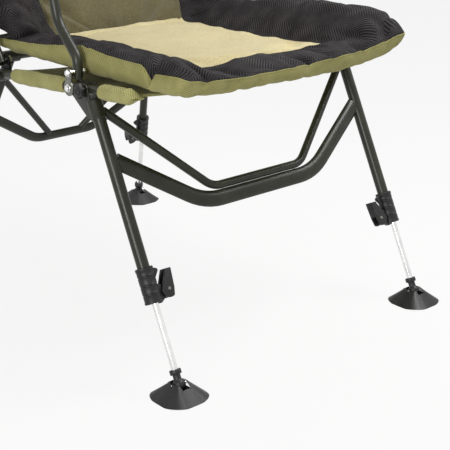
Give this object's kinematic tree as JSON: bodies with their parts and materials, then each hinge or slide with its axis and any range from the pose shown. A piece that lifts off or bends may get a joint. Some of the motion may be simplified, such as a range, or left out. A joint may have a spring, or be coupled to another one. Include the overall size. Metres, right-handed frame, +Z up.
{
  "type": "reclining fishing chair",
  "caption": "Low reclining fishing chair with folding leg frames, telescopic legs on swivel mud feet and padded cushions.",
  "frame": {"origin": "middle of the space that the chair stands in, on the ground", "axes": "+Z up, the sitter faces -Y, +X to the sitter's left"},
  "size_m": [0.637, 0.8982, 0.9827],
  "materials": {
    "frame_tube": "dark olive-grey powder coat, satin",
    "bright_steel": "bright plated",
    "hinge_steel": "dull steel",
    "black_plastic": "satin moulded plastic",
    "sling_fabric": "olive twill",
    "cushion_fabric": "khaki fleece with a black padded border and olive sides",
    "armrest_foam": "matt foam grip"
  },
  "bodies": {
    "seat": {"seat_frame": "frame_tube", "seat_sling": "sling_fabric", "seat_cushion": "cushion_fabric", "hinge_plate_right": "hinge_steel", "hinge_bolt_right": "bright_steel", "armrest_bolt_right": "bright_steel", "recliner_fork_right": "black_plastic", "recliner_bolt_right": "bright_steel", "hinge_plate_left": "hinge_steel", "hinge_bolt_left": "bright_steel", "armrest_bolt_left": "bright_steel", "recliner_fork_left": "black_plastic", "recliner_bolt_left": "bright_steel"},
    "front_legs": {"front_stretcher": "frame_tube", "front_brace": "frame_tube", "front_bracket_right": "frame_tube", "front_bracket_left": "frame_tube", "front_right_leg_tube": "frame_tube", "front_right_lock": "black_plastic", "front_left_leg_tube": "frame_tube", "front_left_lock": "black_plastic"},
    "rear_legs": {"rear_stretcher": "frame_tube", "rear_brace_right": "frame_tube", "rear_bracket_right": "frame_tube", "rear_brace_left": "frame_tube", "rear_bracket_left": "frame_tube", "rear_right_leg_tube": "frame_tube", "rear_right_lock": "black_plastic", "rear_left_leg_tube": "frame_tube", "rear_left_lock": "black_plastic"},
    "back": {"back_frame": "frame_tube", "back_sling": "sling_fabric", "back_cushion": "cushion_fabric", "rod_bolt_right": "bright_steel", "rod_bolt_left": "bright_steel"},
    "armrest_right": {"armrest_tube_right": "frame_tube", "armrest_pad_right": "armrest_foam"},
    "armrest_rod_right": {"armrest_rod_right": "bright_steel"},
    "armrest_left": {"armrest_tube_left": "frame_tube", "armrest_pad_left": "armrest_foam"},
    "armrest_rod_left": {"armrest_rod_left": "bright_steel"},
    "knob_right": {"lock_knob_right": "black_plastic"},
    "knob_left": {"lock_knob_left": "black_plastic"},
    "front_right_lever": {"front_right_lock_lever": "black_plastic"},
    "front_right_inner": {"front_right_inner_leg": "bright_steel", "front_right_leg_tip": "black_plastic"},
    "front_right_foot": {"front_right_foot": "black_plastic"},
    "front_left_lever": {"front_left_lock_lever": "black_plastic"},
    "front_left_inner": {"front_left_inner_leg": "bright_steel", "front_left_leg_tip": "black_plastic"},
    "front_left_foot": {"front_left_foot": "black_plastic"},
    "rear_right_lever": {"rear_right_lock_lever": "black_plastic"},
    "rear_right_inner": {"rear_right_inner_leg": "bright_steel", "rear_right_leg_tip": "black_plastic"},
    "rear_right_foot": {"rear_right_foot": "black_plastic"},
    "rear_left_lever": {"rear_left_lock_lever": "black_plastic"},
    "rear_left_inner": {"rear_left_inner_leg": "bright_steel", "rear_left_leg_tip": "black_plastic"},
    "rear_left_foot": {"rear_left_foot": "black_plastic"}
  },
  "joints": [
    {"name": "front_leg_fold", "type": "hinge", "parent": "seat", "child": "front_legs", "pos_m": [0, -0.15695, 0.4434], "axis": [1, 0, 0], "range_deg": [0, 110]},
    {"name": "rear_leg_fold", "type": "hinge", "parent": "seat", "child": "rear_legs", "pos_m": [0, 0.23005, 0.41552], "axis": [-1, 0, 0], "range_deg": [0, 80]},
    {"name": "back_recline", "type": "hinge", "parent": "seat", "child": "back", "pos_m": [0, 0.07304, 0.44889], "axis": [-1, 0, 0], "range_deg": [-8, 16]},
    {"name": "armrest_right_swing", "type": "hinge", "parent": "seat", "child": "armrest_right", "pos_m": [-0.269, -0.15762, 0.46751], "axis": [-1, 0, 0], "range_deg": [-3.5, 6.8]},
    {"name": "armrest_right_rod_slide", "type": "slide", "parent": "armrest_right", "child": "armrest_rod_right", "axis": [0, 0.9964, 0.0851], "range_m": [-0.0195, 0.0385]},
    {"name": "armrest_left_swing", "type": "hinge", "parent": "seat", "child": "armrest_left", "pos_m": [0.269, -0.15762, 0.46751], "axis": [-1, 0, 0], "range_deg": [-3.5, 6.8]},
    {"name": "armrest_left_rod_slide", "type": "slide", "parent": "armrest_left", "child": "armrest_rod_left", "axis": [0, 0.9964, 0.0851], "range_m": [-0.0195, 0.0385]},
    {"name": "knob_right_turn", "type": "hinge", "parent": "front_legs", "child": "knob_right", "pos_m": [-0.2925, -0.19447, 0.44612], "axis": [-1, 0, 0], "range_deg": [0, 360]},
    {"name": "knob_left_turn", "type": "hinge", "parent": "front_legs", "child": "knob_left", "pos_m": [0.2925, -0.19447, 0.44612], "axis": [1, 0, 0], "range_deg": [0, 360]},
    {"name": "front_right_lever_swing", "type": "hinge", "parent": "front_legs", "child": "front_right_lever", "pos_m": [-0.244, -0.3411, 0.14945], "axis": [0, 0.9014, -0.433], "range_deg": [0, 90]},
    {"name": "front_right_leg_slide", "type": "slide", "parent": "front_legs", "child": "front_right_inner", "axis": [0, -0.433, -0.9014], "range_m": [-0.1, 0.06]},
    {"name": "front_right_foot_tilt", "type": "hinge", "parent": "front_right_inner", "child": "front_right_foot", "pos_m": [-0.274, -0.40661, 0.02], "axis": [1, 0, 0], "range_deg": [-20, 20]},
    {"name": "front_left_lever_swing", "type": "hinge", "parent": "front_legs", "child": "front_left_lever", "pos_m": [0.244, -0.3411, 0.14945], "axis": [0, -0.9014, 0.433], "range_deg": [0, 90]},
    {"name": "front_left_leg_slide", "type": "slide", "parent": "front_legs", "child": "front_left_inner", "axis": [0, -0.433, -0.9014], "range_m": [-0.1, 0.06]},
    {"name": "front_left_foot_tilt", "type": "hinge", "parent": "front_left_inner", "child": "front_left_foot", "pos_m": [0.274, -0.40661, 0.02], "axis": [1, 0, 0], "range_deg": [-20, 20]},
    {"name": "rear_right_lever_swing", "type": "hinge", "parent": "rear_legs", "child": "rear_right_lever", "pos_m": [-0.17959, 0.32665, 0.174], "axis": [0, 0.9285, 0.3714], "range_deg": [0, 90]},
    {"name": "rear_right_leg_slide", "type": "slide", "parent": "rear_legs", "child": "rear_right_inner", "axis": [-0.1826, 0.3651, -0.9129], "range_m": [-0.105, 0.06]},
    {"name": "rear_right_foot_tilt", "type": "hinge", "parent": "rear_right_inner", "child": "rear_right_foot", "pos_m": [-0.24079, 0.38663, 0.02], "axis": [0.9832, 0.0678, -0.1695], "range_deg": [-20, 20]},
    {"name": "rear_left_lever_swing", "type": "hinge", "parent": "rear_legs", "child": "rear_left_lever", "pos_m": [0.17959, 0.32665, 0.174], "axis": [0, -0.9285, -0.3714], "range_deg": [0, 90]},
    {"name": "rear_left_leg_slide", "type": "slide", "parent": "rear_legs", "child": "rear_left_inner", "axis": [0.1826, 0.3651, -0.9129], "range_m": [-0.105, 0.06]},
    {"name": "rear_left_foot_tilt", "type": "hinge", "parent": "rear_left_inner", "child": "rear_left_foot", "pos_m": [0.24079, 0.38663, 0.02], "axis": [0.9832, -0.0678, 0.1695], "range_deg": [-20, 20]}
  ],
  "couplings": [
    {"joint": "armrest_right_swing", "follows": "back_recline", "ratio": 0.4095},
    {"joint": "armrest_right_rod_slide", "follows": "back_recline", "m_per_rad": 0.1359},
    {"joint": "armrest_left_swing", "follows": "back_recline", "ratio": 0.4095},
    {"joint": "armrest_left_rod_slide", "follows": "back_recline", "m_per_rad": 0.1359}
  ]
}
